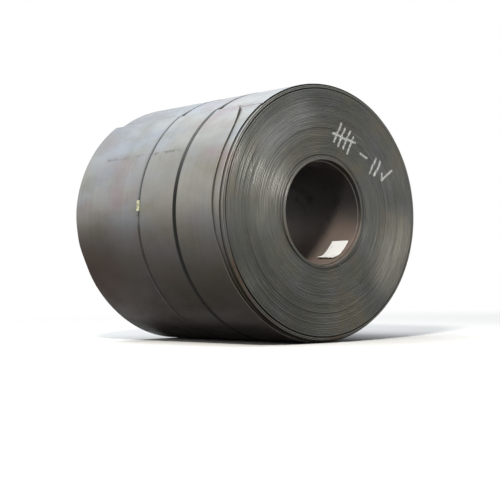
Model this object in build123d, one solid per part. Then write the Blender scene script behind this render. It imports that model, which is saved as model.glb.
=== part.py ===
from build123d import *
import math
import os

# A coil of hot rolled steel strip, lying on its side, held by two steel straps.
# Millimetres. The coil's axis runs along Y, the end that shows faces -Y, and +Z is up.
# Angles are about the axis, from +X towards +Z, so 90 is the top and 180 the left side.
# The origin is on the floor, below the middle of the coil's box.

# Strip
strip_gauge = 10.0
strip_width = 1800.0
lap_count = 58
bore_radius = 381.0

# How far the strip's edges stray along +Y from the main face, lap by lap
eye_lap_shift = 50.0
stepped_laps = 3
stepped_lap_shift = 7.0
tail_lap_shift = 115.0
laps_per_band = 11
band_wander = 4.0
band_wander_turn = 2.3

# Laps next to the innermost one, wound askew: they stand forward of the face on one side only
cocked_laps = 2
cocked_tilt = 3.1
cocked_side = 160.0
cocked_play = 0.2

# Step down at the strip's free ends, a little under one gauge, which fades out round the coil
end_step = 9.6

# Free end of the outermost lap, with its front corner sheared off round
tail_angle = 126.0
tail_fade = 15.0
tail_corner_length = 390.0
tail_corner_depth = 150.0
tail_corner_bulge = 42.0

# Free end of the innermost lap
head_angle = 118.0
head_fade = 25.0

# Straps. Each overlaps itself under its seal, a clip folded over both strap edges.
strap_gap = 0.3
strap_thickness = 1.0
strap_overlap = 150.0
seal_length = 80.0
seal_plate = 1.6
seal_play = 0.3
front_strap_width = 42.0
front_strap_setback = 560.0
front_seal_angle = 5.0
rear_strap_width = 32.0
rear_strap_setback = 1025.0
rear_seal_angle = 175.0

# Paper label stuck inside the bore
label_size_round = 158.0
label_size_along = 184.0
label_thickness = 0.4
label_gap = 0.3
label_setback = 95.0
label_angle = 316.0

# Worked out from the sizes above
coil_radius = bore_radius + lap_count * strip_gauge
strap_radius = coil_radius + strap_gap
axis_height = strap_radius + strap_thickness
cocked_inner = bore_radius + strip_gauge
cocked_outer = cocked_inner + cocked_laps * strip_gauge
cut_margin = 5.0
cocked_reach = cocked_outer * math.tan(math.radians(cocked_tilt))
cocked_root = cocked_reach + cut_margin
front_y = -(strip_width + tail_lap_shift - cocked_reach) / 2


def degrees_of(arc_length, radius):
    """The angle that an arc of this length covers."""
    return math.degrees(arc_length / radius)


def ring(inner, outer, low_y, high_y):
    """A tube about the Y axis."""
    middle = Pos((inner + outer) / 2, (low_y + high_y) / 2)
    return revolve(middle * Rectangle(outer - inner, high_y - low_y), Axis.Y)


def ring_part(inner, outer, low_y, high_y, middle_angle, arc):
    """The part of a tube about the Y axis that covers arc degrees around middle_angle."""
    middle = Pos((inner + outer) / 2, (low_y + high_y) / 2)
    section = middle * Rectangle(outer - inner, high_y - low_y)
    part = revolve(section, Axis.Y, revolution_arc=arc)
    centre = part.center()
    made_angle = math.degrees(math.atan2(centre.Z, centre.X))
    return Rot(0, made_angle - middle_angle, 0) * part


def direction(angle):
    """Unit vector away from the axis at this angle."""
    return Vector(math.cos(math.radians(angle)), 0, math.sin(math.radians(angle)))


def lap_bands():
    """Bands of laps whose edges lie level, from the bore outwards, as (laps, shift along +Y)."""
    plain_laps = lap_count - 1 - cocked_laps - stepped_laps - 1
    whole_bands = plain_laps // laps_per_band
    bands = [(1, eye_lap_shift), (cocked_laps, cocked_root)]
    for band in range(whole_bands):
        bands.append((laps_per_band, band_wander * math.sin(band_wander_turn * band)))
    if plain_laps % laps_per_band:
        bands.append((plain_laps % laps_per_band, 0))
    for step in range(stepped_laps):
        bands.append((1, stepped_lap_shift * (step + 1)))
    bands.append((1, tail_lap_shift))
    return bands


def cocked_collar():
    """The laps that are wound askew, where they leave the coil at a slant."""
    collar = ring(
        cocked_inner + cocked_play,
        cocked_outer - cocked_play,
        front_y - cocked_reach - cut_margin,
        front_y + cocked_root + cut_margin,
    )
    size = 3 * cocked_outer
    behind_slant = Pos(0, front_y, 0) * Rot(0, -cocked_side, 0) * Rot(0, 0, -cocked_tilt)
    return collar & behind_slant * Pos(0, size / 2, 0) * Box(size, size, size)


def tail_gap():
    """What is missing past the free end of the outermost lap."""
    low_y = front_y + tail_lap_shift - cut_margin
    high_y = low_y + strip_width + 2 * cut_margin
    beyond = ring_part(bore_radius, coil_radius + cut_margin, low_y, high_y, tail_angle - 45, 90)
    lap_below = ring(
        cut_margin,
        coil_radius - end_step + tail_fade,
        low_y - cut_margin,
        high_y + cut_margin,
    )
    return beyond - Location(direction(tail_angle) * -tail_fade) * lap_below


def tail_corner():
    """The corner that is missing where the tail's front edge meets its free end."""
    across = Plane((0, 0, 0), x_dir=(0, 1, 0), z_dir=direction(tail_angle))
    edge_y = front_y + tail_lap_shift
    at_end = (edge_y + tail_corner_depth, 0)
    at_edge = (edge_y, tail_corner_length)
    sheared = SagittaArc(at_end, at_edge, -tail_corner_bulge)
    rest = Polyline(
        at_edge,
        (edge_y - cut_margin, tail_corner_length),
        (edge_y - cut_margin, -cut_margin),
        (edge_y + tail_corner_depth, -cut_margin),
        at_end,
    )
    outline = make_face([*sheared.edges(), *rest.edges()])
    column = extrude(across * outline, coil_radius + cut_margin)
    outer_lap = ring(
        coil_radius - strip_gauge,
        coil_radius + cut_margin,
        edge_y - 2 * cut_margin,
        edge_y + strip_width,
    )
    return column & outer_lap


def head_gap():
    """What is missing past the free end of the innermost lap."""
    low_y = front_y - cocked_reach - cut_margin
    high_y = front_y + tail_lap_shift + strip_width + cut_margin
    beyond = ring_part(
        cut_margin,
        coil_radius,
        low_y - cut_margin,
        high_y + cut_margin,
        head_angle + 45,
        90,
    )
    past_head = Location(direction(head_angle) * head_fade) * ring(
        cut_margin,
        bore_radius + end_step - head_fade,
        low_y,
        high_y,
    )
    return beyond & past_head


def wound_coil():
    """All the laps as one turned body, stepped on both ends, with its two free ends cut in."""
    front = []
    radius = bore_radius
    for laps, shift in lap_bands():
        front.append((radius, front_y + shift))
        radius += laps * strip_gauge
        front.append((radius, front_y + shift))
    rear = [(point_radius, y + strip_width) for point_radius, y in reversed(front)]
    laps = revolve(make_face(Polyline(*front, *rear, close=True)), Axis.Y)
    return laps + cocked_collar() - tail_gap() - tail_corner() - head_gap()


def strap(width, setback, seal_angle):
    """A flat band round the coil, doubled where its ends overlap under the seal."""
    low_y = front_y + setback - width / 2
    outer = strap_radius + strap_thickness
    band = ring(strap_radius, outer, low_y, low_y + width)
    arc = degrees_of(strap_overlap, outer)
    end = ring_part(outer, outer + strap_thickness, low_y, low_y + width, seal_angle, arc)
    return band + end


def seal(width, setback, seal_angle):
    """A clip of folded plate: it covers the doubled strap and reaches down past both its edges."""
    strap_top = strap_radius + 2 * strap_thickness
    pocket_top = strap_top + seal_play
    pocket_half = width / 2 + seal_play
    middle_y = front_y + setback
    blank = ring_part(
        strap_radius,
        pocket_top + seal_plate,
        middle_y - pocket_half - seal_plate,
        middle_y + pocket_half + seal_plate,
        seal_angle,
        degrees_of(seal_length, strap_top),
    )
    pocket = ring_part(
        strap_radius - cut_margin,
        pocket_top,
        middle_y - pocket_half,
        middle_y + pocket_half,
        seal_angle,
        degrees_of(seal_length + 2 * cut_margin, strap_top),
    )
    return blank - pocket


def bore_label():
    """A sheet of paper that follows the wall of the bore."""
    outer = bore_radius - label_gap
    low_y = front_y + label_setback
    arc = degrees_of(label_size_round, outer)
    return ring_part(outer - label_thickness, outer, low_y, low_y + label_size_along, label_angle, arc)


pieces = {
    "wound_coil": wound_coil(),
    "strap_front": strap(front_strap_width, front_strap_setback, front_seal_angle),
    "strap_front_seal": seal(front_strap_width, front_strap_setback, front_seal_angle),
    "strap_rear": strap(rear_strap_width, rear_strap_setback, rear_seal_angle),
    "strap_rear_seal": seal(rear_strap_width, rear_strap_setback, rear_seal_angle),
    "bore_label": bore_label(),
}

os.makedirs("parts", exist_ok=True)
for node, shape in pieces.items():
    lifted = Pos(0, 0, axis_height) * shape
    export_step(lifted, f"parts/{node}.step")
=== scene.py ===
import math
import random
from collections import namedtuple

import bmesh
import bpy
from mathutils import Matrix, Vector, noise


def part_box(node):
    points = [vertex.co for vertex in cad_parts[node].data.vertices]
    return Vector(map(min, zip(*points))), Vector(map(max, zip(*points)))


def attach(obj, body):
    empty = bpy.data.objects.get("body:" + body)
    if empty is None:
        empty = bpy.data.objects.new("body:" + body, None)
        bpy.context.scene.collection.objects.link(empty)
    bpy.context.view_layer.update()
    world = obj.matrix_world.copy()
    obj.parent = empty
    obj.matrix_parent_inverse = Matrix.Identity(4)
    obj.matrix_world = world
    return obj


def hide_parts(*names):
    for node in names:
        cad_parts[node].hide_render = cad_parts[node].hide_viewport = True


# A coil of hot rolled strip. Metres, in the CAD frame: the coil's axis runs along Y, +Z is up.
# Angles are about that axis, from +X towards +Z, so 90 is the top and 180 the left side.
# Set-backs are counted along +Y from the main face, which is the end that shows.

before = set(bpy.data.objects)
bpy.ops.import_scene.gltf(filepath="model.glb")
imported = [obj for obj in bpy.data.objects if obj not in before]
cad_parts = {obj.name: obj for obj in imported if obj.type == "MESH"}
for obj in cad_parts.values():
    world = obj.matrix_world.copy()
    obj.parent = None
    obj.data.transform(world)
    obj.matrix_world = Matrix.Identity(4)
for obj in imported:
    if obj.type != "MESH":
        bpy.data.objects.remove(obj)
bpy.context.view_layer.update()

# Strip. BORE and RADIUS are the inner and outer radius of the coil.
GAUGE = 0.010
WIDTH = 1.8
LAPS = 58
BORE = 0.381
RADIUS = BORE + LAPS * GAUGE

# Set-backs of the laps' edges, from the bore outwards
EYE_SHIFT = 0.050
EYE_DRIFT = 0.010
FIRST_PLAIN = 4
BAND_LAPS = 11
WANDERING_BANDS = 4
BAND_WANDER = 0.0025
BAND_WANDER_TURN = 2.3
STEP_SHIFTS = (0.019, 0.006, 0.010, 0.038)
LAST_PLAIN = LAPS - len(STEP_SHIFTS) - 1
TAIL_SHIFT = 0.115

# Laps next to the innermost one, wound askew
COCKED_TILT = math.tan(math.radians(3.1))
COCKED_SIDE = 160.0

# Step down at the strip's free ends, which fades out round the coil. SINK is added to it, so that
# the lap that passes an end is clear of it.
END_STEP = 0.0096
SINK = 0.0008
TAIL_ANGLE = 126.0
TAIL_FADE = 0.015
TAIL_FADE_ARC = 90.0
HEAD_ANGLE = 118.0
HEAD_FADE = 0.025
HEAD_FADE_ARC = 70.0

# The outermost lap: its sheared corner, how that corner stands off the coil, and its edge's wave
SHEARED_LENGTH = 0.390
SHEARED_DEPTH = 0.150
SHEARED_BULGE = 0.042
TAIL_LIFT = 0.0085
TAIL_LIFT_ARC = 12.0
TAIL_LIFT_DEPTH = 0.05
TAIL_LIFT_FADE = 0.3
TAIL_WAVE = 0.0012
TAIL_WAVE_ARC = 9.0

# Set-back of the outermost lap's edge, by degrees from its free end. The solid has TAIL_SHIFT
# all the way round.
TAIL_DRIFT = (
    (0, 0.1125),
    (25, 0.1136),
    (48, 0.1136),
    (62, 0.098),
    (76, 0.070),
    (110, 0.052),
    (360, 0.024),
)

# Straps
Strap = namedtuple("Strap", "width setback seal_angle")
FRONT_STRAP = Strap(width=0.042, setback=0.560, seal_angle=5.0)
REAR_STRAP = Strap(width=0.032, setback=1.025, seal_angle=175.0)
STRAP_GAP = 0.0003
STRAP_GAUGE = 0.001
STRAP_OVERLAP = 0.150

# Seals, each a clip of folded plate with crimps pressed into its edges. The crimps start and
# deepen at these shares of the strap's half width.
SEAL_LENGTH = 0.080
SEAL_PLATE = 0.0016
SEAL_PLAY = 0.0003
CRIMP_PLACES = (-0.018, 0.018)
CRIMP_HALF = 0.009
CRIMP_DEPTH = 0.0011
CRIMP_START = 0.35
CRIMP_SLOPE = 0.5

# Paper label in the bore
LABEL_ANGLE = 316.0
LABEL_SETBACK = 0.095
LABEL_ROUND = 0.158
LABEL_ALONG = 0.184
LABEL_GAP = 0.0003
LABEL_CURL = 0.052
LABEL_CURL_LIFT = 0.020
LABEL_THICKNESS = 0.0003

coil_low, coil_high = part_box("wound_coil")
AXIS_Z = coil_low.z + RADIUS
FRONT = coil_high.y - WIDTH - TAIL_SHIFT

chance = random.Random(11)


# Meshes

def at_angle(radius, angle, y):
    """The point at this angle round the coil's axis, before the coil is lifted onto the floor."""
    turn = math.radians(angle)
    return Vector((radius * math.cos(turn), y, radius * math.sin(turn)))


def angle_of(point):
    """Angle of a point round the coil's axis."""
    return math.degrees(math.atan2(point.z, point.x))


def radius_of(point):
    """Distance of a point from the coil's axis."""
    return math.hypot(point.x, point.z)


def eased(value):
    """A smooth slope from 0 to 1."""
    value = min(max(value, 0.0), 1.0)
    return value * value * (3.0 - 2.0 * value)


def spin_profile(points, start, arc, steps, marks=()):
    """Turns a closed outline of (radius, y) round the axis. Its marks, one a point, go with it."""
    mesh = bmesh.new()
    mark = mesh.verts.layers.float.new("mark")
    ring = [mesh.verts.new(at_angle(radius, start, y)) for radius, y in points]
    for vertex, value in zip(ring, marks):
        vertex[mark] = value
    edges = [mesh.edges.new(pair) for pair in zip(ring, ring[1:] + ring[:1])]
    full = abs(arc) >= 360.0
    bmesh.ops.spin(
        mesh,
        geom=ring + edges,
        cent=(0, 0, 0),
        axis=(0, -1, 0),
        angle=math.radians(arc),
        steps=steps,
        use_merge=full,
    )
    if not full:
        bmesh.ops.holes_fill(mesh, edges=[edge for edge in mesh.edges if edge.is_boundary], sides=0)
    return mesh


def join(meshes):
    """One mesh from several."""
    whole = bmesh.new()
    for mesh in meshes:
        data = bpy.data.meshes.new("part")
        mesh.to_mesh(data)
        mesh.free()
        whole.from_mesh(data)
        bpy.data.meshes.remove(data)
    return whole


def finish_piece(name, mesh, materials, nodes):
    """Lifts the mesh onto the floor and makes it a piece of the coil."""
    bmesh.ops.translate(mesh, verts=mesh.verts, vec=(0, 0, AXIS_Z))
    data = bpy.data.meshes.new(name)
    for face in mesh.faces:
        face.smooth = True
    mesh.to_mesh(data)
    mesh.free()
    piece = bpy.data.objects.new(name, data)
    bpy.context.scene.collection.objects.link(piece)
    for material in materials:
        data.materials.append(material)
    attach(piece, "root")
    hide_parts(*nodes)


# The wound strip

# A lap's rounded edge in section: how far in from the strip's face, and how far back
ROUNDING = ((0.0, 0.0034), (0.0010, 0.0013), (0.0036, 0.0))

# The same for the two end laps. COVER is the distance from there to their next row of points.
CORNER = 0.0032
CORNER_DEPTH = 0.0030
COVER = 0.006

# Added to the mark of the points that lie in the groove between two laps
GROOVE = 1000.0

# Random play of each lap: of its edge, of its border with the next lap, and of its wear
EDGE_PLAY = 0.0008
BORDER_PLAY = 0.0025
WEAR = (0.6, 1.2)

# Order of the strip's materials
BROAD_FACE, LAP_EDGE, BORE_WALL = range(3)


def lap_shift(lap):
    """Set-back of a lap's edge."""
    if lap > LAST_PLAIN:
        return STEP_SHIFTS[lap - LAST_PLAIN - 1]
    if lap < FIRST_PLAIN:
        return 0.0
    band = (lap - FIRST_PLAIN) // BAND_LAPS
    return BAND_WANDER * math.sin(BAND_WANDER_TURN * band) if band < WANDERING_BANDS else 0.0


def edge_wander(lap, angle):
    """Small in and out wander of a lap's edge on its way round."""
    reach = 0.0016
    change_round = 1.3
    change_per_lap = 0.37
    turn = math.radians(angle)
    place = (change_round * math.cos(turn), change_round * math.sin(turn), change_per_lap * lap)
    return reach * noise.noise(Vector(place))


def lap_outline(lap, inner, outer, play, wear, side):
    """One rounded edge of a lap as (radius, y, mark). side is 1 in front and -1 behind."""
    y = FRONT + lap_shift(lap) + (play if side > 0 else WIDTH - play)
    across = wear * min(1.0, (outer - inner) / GAUGE)
    edge = [(inset * across, y + side * depth * wear) for inset, depth in ROUNDING]
    points = [(inner + inset, edge_y, lap) for inset, edge_y in edge]
    points += [(outer - inset, edge_y, lap) for inset, edge_y in reversed(edge)]
    for place in (0, -1):
        radius, edge_y, mark = points[place]
        points[place] = (radius, edge_y, mark + GROOVE)
    return points


def body_laps():
    """All laps but the two end ones, as one turned body with every lap's edge on both ends."""
    front, rear = [], []
    inner = BORE + GAUGE
    for lap in range(2, LAPS):
        plain = FIRST_PLAIN <= lap <= LAST_PLAIN
        play = chance.uniform(-EDGE_PLAY, EDGE_PLAY) if plain else 0.0
        outer = BORE + lap * GAUGE + (chance.uniform(-BORDER_PLAY, BORDER_PLAY) if plain else 0.0)
        wear = chance.uniform(*WEAR) if plain else 1.0
        front += lap_outline(lap, inner, outer, play, wear, 1)
        rear += lap_outline(lap, inner, outer, play, wear, -1)
        inner = outer
    section = front + rear[::-1]
    points = [(radius, y) for radius, y, mark in section]
    marks = [mark for radius, y, mark in section]
    mesh = spin_profile(points, 0.0, 360.0, steps=144, marks=marks)
    mark = mesh.verts.layers.float["mark"]
    slant = at_angle(1.0, COCKED_SIDE, 0.0)
    for vertex in mesh.verts:
        lap = vertex[mark] % GROOVE
        if lap < FIRST_PLAIN - 0.5:
            vertex.co.y -= COCKED_TILT * vertex.co.dot(slant)
        else:
            vertex.co.y += edge_wander(lap, angle_of(vertex.co))
    for edge in mesh.edges:
        edge.smooth = any(vertex[mark] < GROOVE for vertex in edge.verts)
    bmesh.ops.remove_doubles(mesh, verts=mesh.verts, dist=1e-6)
    return mesh


def sheet_outline(inner, outer, rows):
    """Cross section of one lap: rounded corners, and rows of points across its width."""
    depths = [CORNER_DEPTH, CORNER_DEPTH + COVER]
    depths += [WIDTH * row / rows for row in range(1, rows)]
    depths += [WIDTH - CORNER_DEPTH - COVER, WIDTH - CORNER_DEPTH]
    outside = [(outer, depth) for depth in depths]
    inside = [(inner, depth) for depth in depths]
    start = [(inner + CORNER, 0.0), (outer - CORNER, 0.0)]
    end = [(outer - CORNER, WIDTH), (inner + CORNER, WIDTH)]
    return start + outside + end + inside[::-1]


def drift_of_tail(turned):
    """Set-back of the outermost lap's edge, by degrees from its free end."""
    for (low, low_shift), (high, high_shift) in zip(TAIL_DRIFT, TAIL_DRIFT[1:]):
        if turned <= high:
            return low_shift + (high_shift - low_shift) * eased((turned - low) / (high - low))
    return TAIL_DRIFT[-1][1]


def sheared_corner(turned):
    """How much of the tail's front corner is missing, by degrees from the free end."""
    share = turned / math.degrees(SHEARED_LENGTH / RADIUS)
    if share >= 1.0:
        return 0.0
    return SHEARED_DEPTH * (1.0 - share) - 4.0 * SHEARED_BULGE * share * (1.0 - share)


def shifted_circle(radius, shift, turned):
    """Distance from the axis to a circle whose middle is off it, by degrees from the shift."""
    turn = math.radians(turned)
    return shift * math.cos(turn) + math.sqrt(radius**2 - (shift * math.sin(turn)) ** 2)


def under_tail(before):
    """Radius of the outside where the outermost lap dips below its own free end."""
    reach = RADIUS - END_STEP - SINK + TAIL_FADE
    return min(RADIUS, shifted_circle(reach, -TAIL_FADE, before))


def past_head(before):
    """Radius of the bore where the innermost lap passes behind its own free end."""
    reach = BORE + END_STEP + SINK - HEAD_FADE
    return max(BORE, shifted_circle(reach, HEAD_FADE, before))


def outermost_lap():
    """The last lap, from its sheared free end round to where it passes below that end."""
    open_arc = 0.06
    inner = RADIUS - GAUGE
    section = sheet_outline(inner, RADIUS, rows=10)
    mesh = spin_profile(section, TAIL_ANGLE, 360.0 - open_arc, steps=360)
    for vertex in mesh.verts:
        turned = (angle_of(vertex.co) - TAIL_ANGLE + open_arc / 2) % 360.0 - open_arc / 2
        depth = vertex.co.y
        before = 360.0 - turned
        outside = under_tail(before) if before < TAIL_FADE_ARC else RADIUS
        lift = TAIL_LIFT * (1.0 - eased(turned / TAIL_LIFT_ARC))
        lift *= 1.0 - eased((depth - TAIL_LIFT_DEPTH) / TAIL_LIFT_FADE)
        share = (radius_of(vertex.co) - inner) / GAUGE
        radius = inner + share * (outside - inner) + lift
        drift = drift_of_tail(max(turned, 0.0))
        cut = sheared_corner(max(turned, 0.0)) * (1.0 - depth / WIDTH)
        wave = TAIL_WAVE * noise.noise(Vector((turned / TAIL_WAVE_ARC, 0.0, 5.0)))
        vertex.co = at_angle(radius, TAIL_ANGLE + turned, FRONT + drift + depth + cut + wave)
    return mesh


def innermost_lap():
    """The first lap, from its free end in the bore round to where it passes behind that end."""
    open_arc = 0.1
    clearance = 0.0002
    outer = BORE + GAUGE
    section = sheet_outline(BORE, outer, rows=8)
    mesh = spin_profile(section, HEAD_ANGLE, open_arc - 360.0, steps=240)
    for vertex in mesh.verts:
        turned = (HEAD_ANGLE - angle_of(vertex.co) + open_arc / 2) % 360.0 - open_arc / 2
        before = 360.0 - turned
        inside = past_head(before) if before < HEAD_FADE_ARC else BORE
        share = (outer - radius_of(vertex.co)) / GAUGE
        radius = outer - clearance - share * (outer - clearance - inside)
        drift = EYE_SHIFT - EYE_DRIFT * eased(turned / 360.0)
        vertex.co = at_angle(radius, HEAD_ANGLE - turned, FRONT + drift + vertex.co.y)
    return mesh


def wound_strip(name, parts, materials):
    """Laps as one piece, with a material each for its broad faces, its edges and the bore's wall."""
    facing = 0.9
    behind_wall = BORE + 1.2 * GAUGE
    for part in parts:
        bmesh.ops.recalc_face_normals(part, faces=part.faces)
    mesh = join(parts)
    for face in mesh.faces:
        middle = face.calc_center_median()
        outward = Vector((middle.x, 0.0, middle.z)).normalized().dot(face.normal)
        if outward < -facing and radius_of(middle) < behind_wall:
            face.material_index = BORE_WALL
        elif abs(outward) > facing:
            face.material_index = BROAD_FACE
        else:
            face.material_index = LAP_EDGE
    finish_piece(name, mesh, materials, ["wound_coil"])


# Straps and their clips

def strap_seat(angle):
    """Inner radius of a taut strap: it bridges the drop past the tail and lies on the coil elsewhere."""
    before = (TAIL_ANGLE - angle) % 360.0
    if before > TAIL_FADE_ARC:
        return RADIUS + STRAP_GAP
    bridge = 8.0
    if before < bridge:
        edge = (RADIUS + STRAP_GAP) * math.cos(math.radians(bridge))
        return edge / math.cos(math.radians(bridge - before))
    return under_tail(before) + STRAP_GAP


def follow_seat(mesh):
    """Moves a strap that was turned as a true circle onto the coil's own outside."""
    for vertex in mesh.verts:
        angle = angle_of(vertex.co)
        radius = radius_of(vertex.co) + strap_seat(angle) - RADIUS - STRAP_GAP
        vertex.co = at_angle(radius, angle, vertex.co.y)


def band_outline(low, y, width):
    """Cross section of a strap with its edges rolled over."""
    roll = 0.0004
    half = width / 2
    high = low + STRAP_GAUGE
    return [
        (low, y - half + roll),
        (low + roll, y - half),
        (high - roll, y - half),
        (high, y - half + 3 * roll),
        (high, y + half - 3 * roll),
        (high - roll, y + half),
        (low + roll, y + half),
        (low, y + half - roll),
    ]


def strap_band(name, strap, materials, node):
    """A flat band round the coil, with its end lapped over it under the seal."""
    y = FRONT + strap.setback
    low = RADIUS + STRAP_GAP
    high = low + STRAP_GAUGE
    arc = math.degrees(STRAP_OVERLAP / high)
    band = spin_profile(band_outline(low, y, strap.width), 0.0, 360.0, steps=360)
    over = band_outline(high, y, strap.width)
    end = spin_profile(over, strap.seal_angle - arc / 2, arc, steps=16)
    follow_seat(band)
    for part in (band, end):
        bmesh.ops.recalc_face_normals(part, faces=part.faces)
    finish_piece(name, join([band, end]), materials, [node])


def seal_outline(width, y):
    """Section of a clip of plate folded down over both edges of the doubled strap: inside, outside."""
    soft = 0.0006
    low = RADIUS + STRAP_GAP
    pocket = low + 2 * STRAP_GAUGE + SEAL_PLAY
    half = width / 2 + SEAL_PLAY
    top = pocket + SEAL_PLATE
    inside = [
        (low, y - half),
        (pocket, y - half),
        (pocket, y + half),
        (low, y + half),
    ]
    outside = [
        (low, y + half + SEAL_PLATE),
        (top - 2 * soft, y + half + SEAL_PLATE),
        (top - soft / 2, y + half + SEAL_PLATE - soft / 2),
        (top, y + half + SEAL_PLATE - 2 * soft),
        (top, y + half / 2),
        (top, y - half / 2),
        (top, y - half - SEAL_PLATE + 2 * soft),
        (top - soft / 2, y - half - SEAL_PLATE + soft / 2),
        (top - 2 * soft, y - half - SEAL_PLATE),
        (low, y - half - SEAL_PLATE),
    ]
    return inside, outside


def strap_clip(name, strap, materials, node):
    """The seal of a strap, with two pairs of crimps pressed into its edges."""
    y = FRONT + strap.setback
    arc = math.degrees(SEAL_LENGTH / (RADIUS + STRAP_GAP + 2 * STRAP_GAUGE))
    start = strap.seal_angle - arc / 2
    inside, outside = seal_outline(strap.width, y)
    marks = [0.0] * len(inside) + [1.0] * len(outside)
    mesh = spin_profile(inside + outside, start, arc, steps=48, marks=marks)
    mark = mesh.verts.layers.float["mark"]
    for vertex in mesh.verts:
        if vertex[mark] < 0.5:
            continue
        around = (angle_of(vertex.co) - strap.seal_angle + 180.0) % 360.0 - 180.0
        along = math.radians(around) * RADIUS
        side = abs(vertex.co.y - y) / (strap.width / 2)
        for crimp in CRIMP_PLACES:
            press = eased(1.0 - abs(along - crimp) / CRIMP_HALF)
            press *= eased((side - CRIMP_START) / CRIMP_SLOPE)
            outward = Vector((vertex.co.x, 0.0, vertex.co.z)).normalized()
            vertex.co -= CRIMP_DEPTH * press * outward
    bmesh.ops.recalc_face_normals(mesh, faces=mesh.faces)
    finish_piece(name, mesh, materials, [node])


# Paper label in the bore

def paper_label(materials):
    """A sheet that follows the bore, with its lowest strip come loose and curled inwards."""
    clearance = 0.0002
    hinge_arc = 3.0
    wall = BORE - LABEL_GAP
    half_arc = math.degrees(LABEL_ROUND / 2 / wall)
    curl_arc = math.degrees(LABEL_CURL / wall)
    low_angle = LABEL_ANGLE - half_arc
    high_angle = LABEL_ANGLE + half_arc
    mesh = bmesh.new()
    bmesh.ops.create_grid(mesh, x_segments=56, y_segments=24, size=0.5)
    for vertex in mesh.verts:
        across = vertex.co.x + 0.5
        along = vertex.co.y + 0.5
        angle = low_angle - curl_arc + across * (high_angle - low_angle + curl_arc)
        loose = eased((low_angle + hinge_arc - angle) / (curl_arc + hinge_arc))
        lift = LABEL_CURL_LIFT * loose * (0.55 + 0.45 * along)
        lift += 0.0012 * loose * math.sin(17.0 * along)
        buckle = 0.0006 * (1.0 + noise.noise(Vector((5.0 * across, 4.0 * along, 1.0))))
        skew = 0.010 * loose * (along - 0.3)
        y = FRONT + LABEL_SETBACK + LABEL_ALONG * along - skew
        vertex.co = at_angle(wall - clearance - lift - buckle, angle, y)
    bmesh.ops.recalc_face_normals(mesh, faces=mesh.faces)
    middle = mesh.faces[:][len(mesh.faces) // 2]
    if middle.normal.dot(middle.calc_center_median()) > 0:
        bmesh.ops.reverse_faces(mesh, faces=mesh.faces)
    bmesh.ops.solidify(mesh, geom=mesh.faces[:], thickness=LABEL_THICKNESS)
    bmesh.ops.recalc_face_normals(mesh, faces=mesh.faces)
    finish_piece("bore_paper_label", mesh, materials, ["bore_label"])


# Nodes

FLOAT = "NodeSocketFloat"
VECTOR = "NodeSocketVector"


def put(tree, kind, inputs=None, **settings):
    """Adds a node. Inputs are values, or sockets to link from."""
    node = tree.nodes.new(kind)
    for name, value in settings.items():
        setattr(node, name, value)
    for key, value in (inputs or {}).items():
        if isinstance(value, bpy.types.NodeSocket):
            tree.links.new(value, node.inputs[key])
        else:
            node.inputs[key].default_value = value
    return node


def calc(tree, operation, *values):
    """A Math node's result. The operation is named as that node names it."""
    inputs = {place: value for place, value in enumerate(values)}
    return put(tree, "ShaderNodeMath", inputs, operation=operation).outputs[0]


def times(tree, a, b):
    """Two numbers or masks multiplied."""
    return calc(tree, "MULTIPLY", a, b)


def vector_calc(tree, operation, a, b):
    """A Vector Math node's outputs, of which 0 is a vector and 1 a number."""
    return put(tree, "ShaderNodeVectorMath", {0: a, 1: b}, operation=operation).outputs


def scaled(tree, vector, factor):
    """A vector made longer or shorter."""
    inputs = {0: vector, "Scale": factor}
    return put(tree, "ShaderNodeVectorMath", inputs, operation="SCALE").outputs[0]


def flattened(tree, place):
    """A place moved straight along the axis onto the plane of the coil's end."""
    return vector_calc(tree, "MULTIPLY", place, (1, 0, 1))[0]


def height_of(tree, place):
    """Height above the floor."""
    return put(tree, "ShaderNodeSeparateXYZ", {0: place}).outputs[2]


def blend_colours(tree, share, below, above):
    """A colour laid over another by a mask."""
    inputs = {0: share, 6: below, 7: above}
    return put(tree, "ShaderNodeMix", inputs, data_type="RGBA").outputs[2]


def tint(tree, colour, mask, share, above):
    """A colour laid over another by a mask, at most by this share."""
    return blend_colours(tree, times(tree, mask, share), colour, above)


def grade(tree, value, low, high, out_low=0.0, out_high=1.0):
    """A smooth slope from one value to another."""
    inputs = {0: value, 1: low, 2: high, 3: out_low, 4: out_high}
    return put(tree, "ShaderNodeMapRange", inputs, interpolation_type="SMOOTHSTEP").outputs[0]


def between(tree, value, rise, fall):
    """1 between two smooth slopes and 0 outside them. Each slope is a pair of values."""
    return times(tree, grade(tree, value, *rise), grade(tree, value, *fall, 1.0, 0.0))


def new_group(name, inputs, outputs):
    """An empty node group with named sockets: inputs (name, kind, value), outputs (name, kind).
    Gives its tree, the sockets that its nodes start from and those that they end in."""
    tree = bpy.data.node_groups.new(name, "ShaderNodeTree")
    for socket_name, kind, value in inputs:
        socket = tree.interface.new_socket(socket_name, in_out="INPUT", socket_type=kind)
        if value is not None:
            socket.default_value = value
    for socket_name, kind in outputs:
        tree.interface.new_socket(socket_name, in_out="OUTPUT", socket_type=kind)
    return tree, tree.nodes.new("NodeGroupInput").outputs, tree.nodes.new("NodeGroupOutput").inputs


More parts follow.
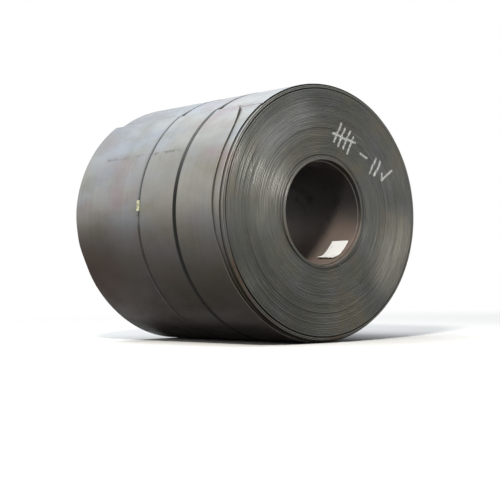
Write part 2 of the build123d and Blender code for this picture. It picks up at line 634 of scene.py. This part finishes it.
def coil_place_group():
    """Where a point lies on the coil: radius, direction, distance along, arc from the top, lap."""
    tree, start, end = new_group(
        "coil_place",
        [("Place", VECTOR, None)],
        [("Radius", FLOAT), ("Direction", VECTOR), ("Along", FLOAT), ("Arc", FLOAT), ("Lap", FLOAT)],
    )
    x, y, lifted = put(tree, "ShaderNodeSeparateXYZ", {0: start["Place"]}).outputs
    z = calc(tree, "SUBTRACT", lifted, AXIS_Z)
    radius = calc(tree, "SQRT", calc(tree, "ADD", times(tree, x, x), times(tree, z, z)))
    sides = {0: calc(tree, "DIVIDE", x, radius), 2: calc(tree, "DIVIDE", z, radius)}
    direction = put(tree, "ShaderNodeCombineXYZ", sides).outputs[0]
    arc = times(tree, calc(tree, "ARCTAN2", x, z), radius)
    laps = calc(tree, "DIVIDE", calc(tree, "SUBTRACT", radius, BORE), GAUGE)
    tree.links.new(radius, end["Radius"])
    tree.links.new(direction, end["Direction"])
    tree.links.new(y, end["Along"])
    tree.links.new(arc, end["Arc"])
    tree.links.new(calc(tree, "FLOOR", laps), end["Lap"])
    return tree


def patches_group():
    """Soft patches with a ragged edge."""
    tree, start, end = new_group(
        "patches",
        [("Place", VECTOR, None), ("Scale", FLOAT, 3.0), ("Detail", FLOAT, 4.0),
         ("From", FLOAT, 0.4), ("To", FLOAT, 0.6)],
        [("Mask", FLOAT)],
    )
    inputs = {
        "Vector": start["Place"],
        "Scale": start["Scale"],
        "Detail": start["Detail"],
        "Roughness": 0.6,
    }
    field = put(tree, "ShaderNodeTexNoise", inputs).outputs[0]
    tree.links.new(grade(tree, field, start["From"], start["To"]), end["Mask"])
    return tree


def drawn_lines_group():
    """Fine lines that run round the coil, broken along their length."""
    tree, start, end = new_group(
        "drawn_lines",
        [("Direction", VECTOR, None), ("Across", FLOAT, 0.0), ("Fineness", FLOAT, 300.0),
         ("Breaks", FLOAT, 3.0), ("From", FLOAT, 0.45), ("To", FLOAT, 0.6)],
        [("Mask", FLOAT)],
    )
    around = scaled(tree, start["Direction"], start["Breaks"])
    across = times(tree, start["Across"], start["Fineness"])
    offset = put(tree, "ShaderNodeCombineXYZ", {1: across}).outputs[0]
    place = vector_calc(tree, "ADD", around, offset)[0]
    inputs = {"Vector": place, "Scale": 1.0, "Detail": 3.0, "Roughness": 0.65}
    field = put(tree, "ShaderNodeTexNoise", inputs).outputs[0]
    tree.links.new(grade(tree, field, start["From"], start["To"]), end["Mask"])
    return tree


def stroke_group():
    """A straight stroke between two places on a flat map, soft at its edges."""
    tree, start, end = new_group(
        "stroke",
        [("Map", VECTOR, None), ("From", VECTOR, None), ("To", VECTOR, None),
         ("Width", FLOAT, 0.01), ("Softness", FLOAT, 0.5)],
        [("Mask", FLOAT)],
    )
    run = vector_calc(tree, "SUBTRACT", start["To"], start["From"])[0]
    offset = vector_calc(tree, "SUBTRACT", start["Map"], start["From"])[0]
    length = vector_calc(tree, "DOT_PRODUCT", run, run)[1]
    share = calc(tree, "DIVIDE", vector_calc(tree, "DOT_PRODUCT", offset, run)[1], length)
    share = put(tree, "ShaderNodeClamp", {0: share, 1: 0.0, 2: 1.0}).outputs[0]
    away = vector_calc(tree, "DISTANCE", offset, scaled(tree, run, share))[1]
    half = times(tree, start["Width"], 0.5)
    core = times(tree, half, calc(tree, "SUBTRACT", 1.0, start["Softness"]))
    tree.links.new(grade(tree, away, core, half, 1.0, 0.0), end["Mask"])
    return tree


COIL_PLACE = coil_place_group()
PATCHES = patches_group()
DRAWN_LINES = drawn_lines_group()
STROKE = stroke_group()


def use(tree, group, inputs):
    """Places a node group. Gives its outputs."""
    return put(tree, "ShaderNodeGroup", inputs, node_tree=group).outputs


def patches(tree, place, scale, low, high, detail=4.0):
    """A mask of soft patches."""
    inputs = {"Place": place, "Scale": scale, "Detail": detail, "From": low, "To": high}
    return use(tree, PATCHES, inputs)["Mask"]


def drawn_lines(tree, coil, across, fineness, breaks, low, high):
    """A mask of fine lines round the coil."""
    inputs = {
        "Direction": coil["Direction"],
        "Across": across,
        "Fineness": fineness,
        "Breaks": breaks,
        "From": low,
        "To": high,
    }
    return use(tree, DRAWN_LINES, inputs)["Mask"]


def stroke(tree, flat, low, high, width, softness):
    """A mask of one straight stroke."""
    inputs = {"Map": flat, "From": low, "To": high, "Width": width, "Softness": softness}
    return use(tree, STROKE, inputs)["Mask"]


def new_material(name):
    """A material with its node tree, its shader and the place of each point in the part's frame."""
    material = bpy.data.materials.new(name)
    material.use_nodes = True
    tree = material.node_tree
    place = put(tree, "ShaderNodeTexCoord").outputs["Object"]
    return material, tree, tree.nodes["Principled BSDF"], place


def bump(tree, shader, height, strength, distance):
    """Presses a mask into the surface."""
    inputs = {"Height": height, "Strength": strength, "Distance": distance}
    tree.links.new(put(tree, "ShaderNodeBump", inputs).outputs[0], shader.inputs["Normal"])


# Materials

def mill_scale():
    """Broad faces of the strip: blue grey mill scale with dull patches and a long scuff.
    Towards the floor it is darkened by painted shade in muddy brown tones, and it is dusty far back at
    the top."""
    material, tree, shader, place = new_material("mill_scale_face")
    coil = use(tree, COIL_PLACE, {"Place": place})
    along = coil["Along"]
    height = height_of(tree, place)
    wide = put(tree, "ShaderNodeMapping", {0: place, "Scale": (1.0, 0.45, 1.0)}).outputs[0]

    cloudy = patches(tree, wide, 2.1, 0.35, 0.65)
    colour = blend_colours(tree, cloudy, (0.175, 0.185, 0.201, 1), (0.187, 0.181, 0.158, 1))
    rosy = patches(tree, wide, 3.3, 0.50, 0.70)
    colour = tint(tree, colour, rosy, 0.60, (0.200, 0.148, 0.150, 1))
    olive = patches(tree, wide, 4.6, 0.50, 0.72)
    colour = tint(tree, colour, olive, 0.55, (0.140, 0.137, 0.098, 1))
    lines = drawn_lines(tree, coil, along, 46.0, 1.6, 0.35, 0.70)
    colour = tint(tree, colour, lines, 0.12, (0.30, 0.31, 0.32, 1))
    fine = drawn_lines(tree, coil, along, 330.0, 5.0, 0.52, 0.75)
    colour = tint(tree, colour, fine, 0.09, (0.080, 0.078, 0.075, 1))

    flat = put(tree, "ShaderNodeCombineXYZ", {0: coil["Arc"], 1: along}).outputs[0]
    scuff_ends = (-1.008, FRONT + 0.60, 0), (-1.016, FRONT + 1.62, 0)
    scuff = stroke(tree, flat, *scuff_ends, width=0.040, softness=0.95)
    broken = patches(tree, place, 15.0, 0.36, 0.60)
    scuff = times(tree, scuff, times(tree, broken, 0.75))
    colour = blend_colours(tree, scuff, colour, (0.078, 0.072, 0.062, 1))
    specks = patches(tree, place, 95.0, 0.70, 0.76, 2.0)
    colour = tint(tree, colour, specks, 0.6, (0.066, 0.053, 0.040, 1))

    # Painted shade: the barrel darkens towards the floor, in muddy brown tones.
    uneven = grade(tree, patches(tree, wide, 4.0, 0.2, 0.8), 0.0, 1.0, 0.93, 1.0)
    painted_low_shade = times(tree, grade(tree, height, 0.34, 1.30, 1.0, 0.0), uneven)
    shade_tone_patches = patches(tree, wide, 2.6, 0.42, 0.60)
    low_shade_colour = blend_colours(tree, shade_tone_patches, (0.031, 0.0190, 0.0135, 1), (0.0245, 0.0200, 0.0110, 1))
    colour = blend_colours(tree, painted_low_shade, colour, low_shade_colour)
    far_back = grade(tree, along, FRONT + 1.20, FRONT + 1.55)
    mauve = times(tree, far_back, grade(tree, height, 0.45, 1.15, 0.80, 0.0))
    colour = blend_colours(tree, mauve, colour, (0.044, 0.024, 0.018, 1))
    # Painted shade, darkest just above the floor.
    painted_underside_shade = grade(tree, height, 0.10, 0.45, 0.75, 0.0)
    colour = blend_colours(tree, painted_underside_shade, colour, (0.013, 0.011, 0.009, 1))
    dusty = times(tree, grade(tree, along, FRONT + 0.95, FRONT + 1.75),
                  grade(tree, height, 1.40, 1.75, 0.0, 0.62))
    colour = blend_colours(tree, dusty, colour, (0.130, 0.133, 0.140, 1))
    tree.links.new(colour, shader.inputs["Base Color"])

    dull = patches(tree, wide, 6.5, 0.3, 0.7)
    rough = calc(tree, "ADD", grade(tree, dull, 0.0, 1.0, 0.34, 0.46), times(tree, fine, 0.08))
    tree.links.new(rough, shader.inputs["Roughness"])
    # Less metallic low down, part of the painted shade.
    tree.links.new(grade(tree, height, 0.70, 1.25, 0.20, 0.82), shader.inputs["Metallic"])
    shader.inputs["Specular IOR Level"].default_value = 0.05
    relief = calc(tree, "ADD", times(tree, dull, 0.6), times(tree, fine, 0.25))
    bump(tree, shader, relief, strength=0.12, distance=0.002)
    return material


def chalk_marks(tree, place):
    """Counting strokes, a dash and a tick drawn by hand with chalk on the laps."""
    inputs = {"Vector": place, "Scale": 14.0, "Detail": 2.0}
    wobble = put(tree, "ShaderNodeTexNoise", inputs).outputs[1]
    wobble = vector_calc(tree, "SUBTRACT", wobble, (0.5, 0.5, 0.5))[0]
    moved = vector_calc(tree, "ADD", place, scaled(tree, wobble, 0.022))[0]
    flat = flattened(tree, moved)
    step = Vector((0.86, 0.0, -0.50))
    rise = Vector((0.42, 0.0, 0.90))
    origin = Vector((0.105, 0.0, AXIS_Z + 0.530))
    size = 1.06
    strokes = (
        ((0.000, 0.000), (0.012, 0.150)),
        ((0.050, -0.008), (0.056, 0.138)),
        ((0.098, 0.004), (0.108, 0.144)),
        ((0.150, -0.004), (0.154, 0.132)),
        ((-0.028, 0.046), (0.190, 0.104)),
        ((0.262, 0.062), (0.335, 0.070)),
        ((0.404, -0.010), (0.412, 0.112)),
        ((0.450, 0.000), (0.462, 0.118)),
        ((0.508, 0.052), (0.528, 0.006)),
        ((0.528, 0.006), (0.592, 0.124)),
    )
    total = None
    for ends in strokes:
        low, high = [origin + size * (step * a + rise * b) for a, b in ends]
        mask = stroke(tree, flat, low, high, width=0.024, softness=0.6)
        total = mask if total is None else calc(tree, "MAXIMUM", total, mask)
    grain = patches(tree, place, 120.0, 0.34, 0.60, 3.0)
    return times(tree, total, calc(tree, "ADD", 0.4, times(tree, grain, 0.6)))


def painted_highlight_areas(tree, place, streaks, colour):
    """Broad soft areas of the coil's end: three painted highlights broken into streaks, and a dark one
    low down that is painted shade.
    """
    flat = flattened(tree, place)

    def area(low, high, width):
        """A wide stroke between two places, each as distances right of the axis and above it."""
        ends = [(right, 0, AXIS_Z + up) for right, up in (low, high)]
        return stroke(tree, flat, *ends, width, softness=1.0)

    for low, high, width, share, bright in (
        ((-0.52, 0.52), (-0.22, 0.70), 0.42, 0.95, (0.240, 0.247, 0.238, 1)),
        ((-0.60, -0.02), (-0.42, 0.30), 0.40, 0.50, (0.290, 0.283, 0.245, 1)),
        ((0.62, -0.45), (0.78, -0.15), 0.50, 0.95, (0.300, 0.288, 0.243, 1)),
    ):
        painted_highlight = times(tree, area(low, high, width), streaks)
        colour = tint(tree, colour, painted_highlight, share, bright)
    # Painted shade on the lower left of the end.
    shaded = area((-0.82, -0.28), (-0.30, -0.82), 0.60)
    return tint(tree, colour, shaded, 0.45, (0.040, 0.041, 0.036, 1))


def lap_border(laps_in):
    """The pair of radii on both sides of a border between laps, counted from the outside."""
    soft = 0.0005
    border = RADIUS - laps_in * GAUGE
    return border - soft, border + soft


def askew_collar(tree, coil, colour):
    """The laps wound askew, widest on their upper left with a painted highlight there, and a painted
    shadow line round them.
    """
    radius = coil["Radius"]
    upper_left = at_angle(1.0, 135.0, 0.0)
    towards = vector_calc(tree, "DOT_PRODUCT", coil["Direction"], upper_left)[1]
    stretch = times(tree, calc(tree, "MAXIMUM", towards, 0.0), 0.014)
    reach = calc(tree, "SUBTRACT", radius, stretch)
    collar = grade(tree, reach, BORE + 0.026, BORE + 0.030, 1.0, 0.0)
    shade = between(tree, reach, (BORE + 0.028, BORE + 0.031), (BORE + 0.035, BORE + 0.042))
    lit = times(tree, collar, grade(tree, towards, -0.2, 0.9, 0.10, 0.75))
    colour = blend_colours(tree, lit, colour, (0.155, 0.152, 0.136, 1))
    return tint(tree, colour, shade, 0.80, (0.018, 0.018, 0.016, 1))


def lap_edges():
    """Edges of the laps on the coil's ends: dark, each a little different, worn bright in arcs, with
    painted highlights and shade.
    """
    material, tree, shader, place = new_material("lap_edge_steel")
    coil = use(tree, COIL_PLACE, {"Place": place})
    radius = coil["Radius"]
    height = height_of(tree, place)

    own = put(tree, "ShaderNodeTexWhiteNoise", {"W": coil["Lap"]}, noise_dimensions="1D").outputs[0]
    slow = drawn_lines(tree, coil, radius, 26.0, 0.8, 0.30, 0.70)
    tone = calc(tree, "ADD", times(tree, own, 0.35), times(tree, slow, 0.65))
    colour = blend_colours(tree, tone, (0.078, 0.082, 0.075, 1), (0.115, 0.118, 0.104, 1))
    beige = patches(tree, place, 3.0, 0.44, 0.66)
    colour = tint(tree, colour, beige, 0.70, (0.136, 0.124, 0.090, 1))
    haze = patches(tree, place, 5.0, 0.46, 0.68)
    colour = tint(tree, colour, haze, 0.45, (0.121, 0.130, 0.138, 1))

    streaks = drawn_lines(tree, coil, radius, 90.0, 2.2, 0.30, 0.70)
    streaks = grade(tree, streaks, 0.0, 1.0, 0.40, 1.0)
    colour = painted_highlight_areas(tree, place, streaks, colour)
    arcs = drawn_lines(tree, coil, radius, 210.0, 3.2, 0.56, 0.68)
    worn = patches(tree, place, 2.6, 0.42, 0.62, 2.0)
    colour = tint(tree, colour, times(tree, arcs, worn), 0.6, (0.29, 0.27, 0.23, 1))
    dark = drawn_lines(tree, coil, radius, 120.0, 2.8, 0.55, 0.70)
    colour = tint(tree, colour, dark, 0.40, (0.031, 0.032, 0.030, 1))

    bright_laps = between(tree, radius, lap_border(4), lap_border(2))
    colour = tint(tree, colour, bright_laps, 0.75, (0.130, 0.127, 0.112, 1))
    near_bore = grade(tree, radius, BORE + 0.012, BORE + 0.055, 1.0, 0.0)
    near_rim = times(tree, grade(tree, radius, RADIUS - 0.050, RADIUS - 0.030),
                     grade(tree, height, AXIS_Z - 0.45, AXIS_Z + 0.05, 1.0, 0.1))
    stained = times(tree, calc(tree, "MAXIMUM", near_bore, near_rim),
                    patches(tree, place, 4.0, 0.46, 0.64))
    colour = tint(tree, colour, stained, 0.55, (0.112, 0.053, 0.026, 1))
    # Painted shade of the gaps near the rim: three of the outer laps are darkened.
    dark_lap = between(tree, radius, lap_border(5), lap_border(4))
    dark_laps = calc(tree, "MAXIMUM", dark_lap, grade(tree, radius, *lap_border(2)))
    colour = tint(tree, colour, dark_laps, 0.8, (0.014, 0.013, 0.011, 1))
    colour = askew_collar(tree, coil, colour)
    # Lighter outer corner of the outermost lap: worn steel and a painted corner highlight.
    rim = grade(tree, radius, RADIUS - 0.0055, RADIUS - 0.0035)
    colour = tint(tree, colour, rim, 0.45, (0.186, 0.174, 0.149, 1))

    front_only = calc(tree, "LESS_THAN", coil["Along"], 0.0)
    chalk = times(tree, chalk_marks(tree, place), front_only)
    colour = blend_colours(tree, chalk, colour, (0.80, 0.80, 0.78, 1))
    tree.links.new(colour, shader.inputs["Base Color"])
    metal = times(tree, calc(tree, "SUBTRACT", 1.0, chalk), 0.50)
    tree.links.new(metal, shader.inputs["Metallic"])
    rough = calc(tree, "ADD", grade(tree, tone, 0.0, 1.0, 0.47, 0.37), times(tree, chalk, 0.4))
    tree.links.new(rough, shader.inputs["Roughness"])
    shader.inputs["Specular IOR Level"].default_value = 0.2
    bump(tree, shader, calc(tree, "ADD", arcs, dark), strength=0.15, distance=0.001)
    return material


def bore_wall():
    """Inside of the innermost lap: brown mill scale with rust, painted near black as shade in its upper
    half.
    """
    material, tree, shader, place = new_material("bore_wall_steel")
    coil = use(tree, COIL_PLACE, {"Place": place})
    cloudy = patches(tree, place, 3.0, 0.35, 0.65)
    colour = blend_colours(tree, cloudy, (0.188, 0.150, 0.126, 1), (0.236, 0.178, 0.147, 1))
    rust = patches(tree, place, 7.0, 0.50, 0.72)
    colour = tint(tree, colour, rust, 0.5, (0.130, 0.075, 0.050, 1))
    # Painted shade: the upper half of the bore darkens to near black.
    painted_bore_shade = grade(tree, height_of(tree, place), AXIS_Z - 0.25, AXIS_Z + 0.12, 0.0, 0.94)
    colour = blend_colours(tree, painted_bore_shade, colour, (0.016, 0.016, 0.0155, 1))
    fine = drawn_lines(tree, coil, coil["Along"], 180.0, 3.0, 0.50, 0.70)
    colour = tint(tree, colour, fine, 0.25, (0.07, 0.055, 0.045, 1))
    tree.links.new(colour, shader.inputs["Base Color"])
    tree.links.new(grade(tree, rust, 0.0, 1.0, 0.5, 0.72), shader.inputs["Roughness"])
    shader.inputs["Metallic"].default_value = 0.25
    bump(tree, shader, rust, strength=0.15, distance=0.002)
    return material


def strap_steel(name, base, worn, worn_share, rough, metallic, edge=None):
    """Strap: paint or scale over steel, worn along its length. A strap with a coat of paint is lighter
    grey towards the top, a painted reflection of the sky. A bare one, given by the y of its front edge,
    is darkened low down by painted shade and has a painted shadow line along that edge."""
    material, tree, shader, place = new_material(name)
    coil = use(tree, COIL_PLACE, {"Place": place})
    height = height_of(tree, place)
    lines = drawn_lines(tree, coil, coil["Along"], 900.0, 4.0, 0.45, 0.75)
    colour = tint(tree, base, lines, worn_share, worn)
    patch = patches(tree, place, 9.0, 0.42, 0.68)
    colour = tint(tree, colour, patch, 0.35, worn)
    specks = patches(tree, place, 140.0, 0.66, 0.74, 2.0)
    colour = tint(tree, colour, specks, 0.5, (0.12, 0.07, 0.045, 1))
    if edge is None:
        # Painted reflection of the sky: lighter grey towards the top.
        painted_top_sheen = grade(tree, height, 1.05, 1.62, 0.0, 0.90)
        colour = blend_colours(tree, painted_top_sheen, colour, (0.085, 0.087, 0.084, 1))
        shader.inputs["Metallic"].default_value = metallic
    else:
        # Painted shade: darker low down.
        painted_low_shade = grade(tree, height, 0.80, 0.95, 0.95, 0.0)
        colour = blend_colours(tree, painted_low_shade, colour, (0.018, 0.015, 0.012, 1))
        brown = between(tree, height, (0.66, 0.72), (0.86, 0.94))
        colour = blend_colours(tree, brown, colour, (0.042, 0.036, 0.028, 1))
        # Painted shadow line along the strap's front edge, stronger higher up.
        grime_and_edge_shadow = times(tree, grade(tree, coil["Along"], edge + 0.006, edge + 0.014, 1.0, 0.0),
                      grade(tree, height, 0.85, 1.05, 0.2, 0.9))
        colour = blend_colours(tree, grime_and_edge_shadow, colour, (0.018, 0.019, 0.021, 1))
        # Less metallic low down, part of the painted shade.
        metal = grade(tree, height, 0.70, 1.10, 0.2, metallic)
        tree.links.new(metal, shader.inputs["Metallic"])
    tree.links.new(colour, shader.inputs["Base Color"])
    tree.links.new(grade(tree, patch, 0.0, 1.0, *rough), shader.inputs["Roughness"])
    shader.inputs["Specular IOR Level"].default_value = 0.07
    bump(tree, shader, lines, strength=0.1, distance=0.0005)
    return material


def seal_plating(name, base, spot):
    """Clip: dull plated steel with spots."""
    material, tree, shader, place = new_material(name)
    spots = patches(tree, place, 170.0, 0.46, 0.56, 2.0)
    colour = blend_colours(tree, spots, base, spot)
    grime_and_edge_shadow = patches(tree, place, 40.0, 0.48, 0.70)
    colour = tint(tree, colour, grime_and_edge_shadow, 0.6, (0.07, 0.065, 0.05, 1))
    tree.links.new(colour, shader.inputs["Base Color"])
    tree.links.new(grade(tree, grime_and_edge_shadow, 0.0, 1.0, 0.38, 0.62), shader.inputs["Roughness"])
    shader.inputs["Metallic"].default_value = 0.45
    bump(tree, shader, spots, strength=0.2, distance=0.0005)
    return material


def label_paper():
    """Plain paper, a little dirty, with soft creases."""
    material, tree, shader, place = new_material("label_paper_white")
    soil = patches(tree, place, 18.0, 0.50, 0.78)
    colour = tint(tree, (0.86, 0.85, 0.82, 1), soil, 0.35, (0.55, 0.51, 0.45, 1))
    tree.links.new(colour, shader.inputs["Base Color"])
    tree.links.new(grade(tree, soil, 0.0, 1.0, 0.62, 0.82), shader.inputs["Roughness"])
    crease = patches(tree, place, 30.0, 0.35, 0.65, 1.0)
    bump(tree, shader, crease, strength=0.25, distance=0.001)
    return material


# Stage

SENSOR_WIDTH = 36.0
FOCAL_LENGTH = 97.2
CAMERA_PLACE = (-6.6529, -8.3447, 0.4886)
CAMERA_TURN = (91.191, 0.956, -38.750)
FLOOR_RADIUS = 60.0
SHADOW_REACH = 2.5
PLAIN_WHITE_FROM = 9.0
SKY_COLOUR = (0.93, 0.96, 1.0, 1)
SKY_STRENGTH = 0.33
LAMP_TARGET = (0, 0, 0.95)


def sees_background(tree):
    """1 for the rays that show the background: those of the camera, of gloss and of glass."""
    path = put(tree, "ShaderNodeLightPath").outputs
    gloss = calc(tree, "MAXIMUM", path["Is Glossy Ray"], path["Is Transmission Ray"])
    return calc(tree, "MAXIMUM", path["Is Camera Ray"], gloss)


def add_floor():
    """Floor that looks pale, keeps the shadow near the coil and turns plain white far from it.
    The soft light that it throws back onto the coil is that of dark ground."""
    mesh = bmesh.new()
    bmesh.ops.create_circle(mesh, cap_ends=True, segments=96, radius=FLOOR_RADIUS)
    data = bpy.data.meshes.new("studio_floor")
    mesh.to_mesh(data)
    mesh.free()
    floor = bpy.data.objects.new("studio_floor", data)
    bpy.context.scene.collection.objects.link(floor)
    material, tree, shader, place = new_material("studio_floor_white")
    shader.inputs["Roughness"].default_value = 0.9
    shader.inputs["Specular IOR Level"].default_value = 0.0
    white = put(tree, "ShaderNodeEmission", {"Color": (1, 1, 1, 1), "Strength": 1.0})
    away = put(tree, "ShaderNodeVectorMath", {0: place}, operation="LENGTH").outputs[1]
    seen = sees_background(tree)
    plain_white = times(tree, grade(tree, away, SHADOW_REACH, PLAIN_WHITE_FROM), seen)
    pale = blend_colours(tree, seen, (0.14, 0.132, 0.118, 1), (0.86, 0.84, 0.81, 1))
    tree.links.new(pale, shader.inputs["Base Color"])
    inputs = {0: plain_white, 1: shader.outputs[0], 2: white.outputs[0]}
    mixed = put(tree, "ShaderNodeMixShader", inputs)
    tree.links.new(mixed.outputs[0], tree.nodes["Material Output"].inputs["Surface"])
    data.materials.append(material)


def add_world():
    """A soft grey sky that looks plain white."""
    world = bpy.data.worlds.new("studio_world")
    bpy.context.scene.world = world
    world.use_nodes = True
    tree = world.node_tree
    tree.nodes.clear()
    sky = put(tree, "ShaderNodeBackground", {"Color": SKY_COLOUR, "Strength": SKY_STRENGTH})
    white = put(tree, "ShaderNodeBackground", {"Color": (1, 1, 1, 1), "Strength": 1.0})
    inputs = {0: sees_background(tree), 1: sky.outputs[0], 2: white.outputs[0]}
    mixed = put(tree, "ShaderNodeMixShader", inputs)
    end = put(tree, "ShaderNodeOutputWorld")
    tree.links.new(mixed.outputs[0], end.inputs["Surface"])


def add_softbox(name, place, size, power, colour):
    """A large soft lamp that points at the middle of the coil."""
    data = bpy.data.lights.new(name, "AREA")
    data.shape = "RECTANGLE"
    data.size, data.size_y = size
    data.energy = power
    data.color = colour
    lamp = bpy.data.objects.new(name, data)
    lamp.location = place
    aim = Vector(LAMP_TARGET) - Vector(place)
    lamp.rotation_euler = aim.to_track_quat("-Z", "Y").to_euler()
    lamp.visible_camera = False
    bpy.context.scene.collection.objects.link(lamp)


def add_camera():
    """The photograph's own view."""
    data = bpy.data.cameras.new("camera")
    data.sensor_width = SENSOR_WIDTH
    data.lens = FOCAL_LENGTH
    camera = bpy.data.objects.new("camera", data)
    camera.location = CAMERA_PLACE
    camera.rotation_euler = [math.radians(turn) for turn in CAMERA_TURN]
    bpy.context.scene.collection.objects.link(camera)
    bpy.context.scene.camera = camera


add_camera()
add_floor()
add_world()
add_softbox("key", (-5.3, -4.8, 6.1), (1.1, 1.1), 780.0, (1.0, 0.985, 0.95))
add_softbox("overhead", (-1.8, 0.5, 7.5), (5.0, 5.0), 300.0, (0.94, 0.97, 1.0))
add_softbox("sky_back", (-3.0, 9.5, 3.8), (18.0, 6.0), 330.0, (0.98, 0.98, 0.96))
add_softbox("sky_high", (1.5, 6.5, 8.5), (13.0, 5.0), 460.0, (0.79, 0.89, 1.0))

strip_steel = [mill_scale(), lap_edges(), bore_wall()]
wound_strip("steel_strip_laps", [body_laps()], strip_steel)
wound_strip("steel_strip_end_laps", [outermost_lap(), innermost_lap()], strip_steel)

dark_strap = strap_steel(
    "strap_black",
    base=(0.008, 0.008, 0.0075, 1),
    worn=(0.020, 0.019, 0.017, 1),
    worn_share=0.3,
    rough=(0.62, 0.74),
    metallic=0.0,
)
bare_strap = strap_steel(
    "strap_bare_steel",
    base=(0.100, 0.104, 0.104, 1),
    worn=(0.140, 0.138, 0.126, 1),
    worn_share=0.5,
    rough=(0.38, 0.50),
    metallic=0.70,
    edge=FRONT + REAR_STRAP.setback - REAR_STRAP.width / 2,
)
dark_seal = seal_plating("seal_black", (0.045, 0.045, 0.045, 1), (0.11, 0.11, 0.10, 1))
pale_seal = seal_plating("seal_zinc", (0.26, 0.27, 0.16, 1), (0.58, 0.56, 0.36, 1))
strap_band("strap_front_band", FRONT_STRAP, [dark_strap], "strap_front")
strap_band("strap_rear_band", REAR_STRAP, [bare_strap], "strap_rear")
strap_clip("strap_front_clip", FRONT_STRAP, [dark_seal], "strap_front_seal")
strap_clip("strap_rear_clip", REAR_STRAP, [pale_seal], "strap_rear_seal")
paper_label([label_paper()])

bpy.context.scene.view_settings.view_transform = "Standard"
